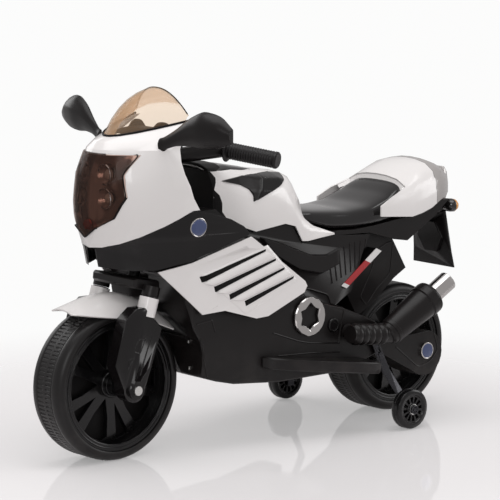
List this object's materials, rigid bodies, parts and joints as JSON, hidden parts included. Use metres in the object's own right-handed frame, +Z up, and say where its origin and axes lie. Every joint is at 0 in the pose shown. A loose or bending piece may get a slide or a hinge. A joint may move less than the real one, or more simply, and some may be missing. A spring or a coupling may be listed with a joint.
{
  "type": "kids electric motorcycle",
  "caption": "White and black child's electric ride-on motorcycle with a sport fairing, amber windshield, two mirrors and training wheels",
  "frame": {"origin": "on the ground, in the middle of the machine's length and width", "axes": "+X forwards, +Y to the rider's left, +Z up"},
  "size_m": [0.8356, 0.4268, 0.582],
  "materials": {
    "white_shell": "glossy injection-moulded white plastic",
    "black_shell": "satin black plastic",
    "black_gloss": "glossy black plastic",
    "tyre_black": "moulded black plastic tyre with a fine ribbed tread",
    "smoked_lens": "smoked brown clear plastic",
    "amber_screen": "amber tinted clear plastic sheet",
    "plated": "bright plated plastic",
    "zinc_steel": "zinc plated steel",
    "amber_lens": "amber plastic",
    "silver_lens": "silvered smoky plastic",
    "nylon": "natural nylon",
    "board": "green circuit board",
    "grey_plastic": "dark grey plastic",
    "red_plastic": "red plastic"
  },
  "bodies": {
    "frame": {"battery": "grey_plastic", "body_shell_left": "black_shell", "body_shell_right": "black_shell", "charger_socket": "black_shell", "circuit_board": "board", "exhaust_left": "black_shell", "exhaust_right": "black_shell", "exhaust_tip_left": "plated", "exhaust_tip_right": "plated", "footrest_left": "black_shell", "footrest_right": "black_shell", "gearbox_cover": "black_shell", "gearbox_housing": "black_shell", "headlight_lens": "smoked_lens", "headlight_reflector": "silver_lens", "mirror_left": "black_gloss", "mirror_right": "black_gloss", "motor": "zinc_steel", "motor_lead": "red_plastic", "mudguard": "black_shell", "nose_cowl": "white_shell", "rear_axle": "zinc_steel", "ring_trim_left": "plated", "ring_trim_right": "plated", "seat": "black_gloss", "side_fairing_left": "black_gloss", "side_fairing_right": "black_gloss", "swing_arm_cover": "black_shell", "tail_cover": "white_shell", "tail_light": "silver_lens", "tail_support": "black_shell", "tank_cover": "white_shell", "training_bracket_left": "zinc_steel", "training_bracket_right": "zinc_steel", "turn_signal_left": "amber_lens", "turn_signal_right": "amber_lens", "vent_panel_left": "white_shell", "vent_panel_right": "white_shell", "windshield": "amber_screen"},
    "steering": {"fork_leg_left": "black_gloss", "fork_leg_right": "black_gloss", "front_fender": "white_shell", "fork_crown": "black_gloss", "front_axle": "zinc_steel", "handlebar": "black_shell", "grip_left": "black_shell", "grip_right": "black_shell"},
    "front_wheel": {"front_tyre": "tyre_black", "front_rim": "black_gloss"},
    "rear_wheel": {"rear_tyre": "tyre_black", "rear_rim": "black_gloss", "output_gear": "nylon"},
    "compound": {"compound_gear": "nylon"},
    "pinion": {"motor_pinion": "zinc_steel"},
    "training_wheel_l": {"training_wheel_left": "black_shell"},
    "training_wheel_r": {"training_wheel_right": "black_shell"},
    "pedal": {"accelerator_pedal": "grey_plastic"},
    "power_rocker": {"power_switch": "red_plastic"},
    "direction_rocker": {"direction_switch": "grey_plastic"},
    "horn": {"horn_button": "red_plastic"}
  },
  "joints": [
    {"name": "steer", "type": "hinge", "parent": "frame", "child": "steering", "pos_m": [0.30637, 0, 0.12348], "axis": [-0.3746, 0, 0.9272], "range_deg": [-20, 20]},
    {"name": "front_wheel_spin", "type": "hinge", "parent": "steering", "child": "front_wheel", "pos_m": [0.29775, 0, 0.12], "axis": [0, 1, 0], "continuous": true},
    {"name": "rear_wheel_spin", "type": "hinge", "parent": "frame", "child": "rear_wheel", "pos_m": [-0.29625, 0, 0.109], "axis": [0, 1, 0], "continuous": true},
    {"name": "compound_spin", "type": "hinge", "parent": "frame", "child": "compound", "pos_m": [-0.27424, -0.058, 0.1233], "axis": [0, 1, 0], "continuous": true},
    {"name": "pinion_spin", "type": "hinge", "parent": "frame", "child": "pinion", "pos_m": [-0.25423, -0.062, 0.1233], "axis": [0, 1, 0], "continuous": true},
    {"name": "training_left_spin", "type": "hinge", "parent": "frame", "child": "training_wheel_l", "pos_m": [-0.21125, 0.157, 0.034], "axis": [0, 1, 0], "continuous": true},
    {"name": "training_right_spin", "type": "hinge", "parent": "frame", "child": "training_wheel_r", "pos_m": [-0.21125, -0.157, 0.034], "axis": [0, 1, 0], "continuous": true},
    {"name": "pedal_press", "type": "hinge", "parent": "frame", "child": "pedal", "pos_m": [-0.04925, -0.124, 0.13549], "axis": [0, 1, 0], "range_deg": [0, 10], "stiffness_Nm_per_rad": 0.6},
    {"name": "power_rock", "type": "hinge", "parent": "frame", "child": "power_rocker", "pos_m": [0.16975, -0.036, 0.38977], "axis": [0, 1, 0], "range_deg": [-1, 14]},
    {"name": "direction_rock", "type": "hinge", "parent": "frame", "child": "direction_rocker", "pos_m": [0.16975, 0.036, 0.38977], "axis": [0, 1, 0], "range_deg": [-1, 14]},
    {"name": "horn_press", "type": "slide", "parent": "steering", "child": "horn", "axis": [0, 0, -1], "range_m": [0, 0.002], "stiffness_N_per_m": 150}
  ],
  "couplings": [
    {"joint": "compound_spin", "follows": "rear_wheel_spin", "ratio": -3.2},
    {"joint": "pinion_spin", "follows": "rear_wheel_spin", "ratio": 9.6}
  ]
}
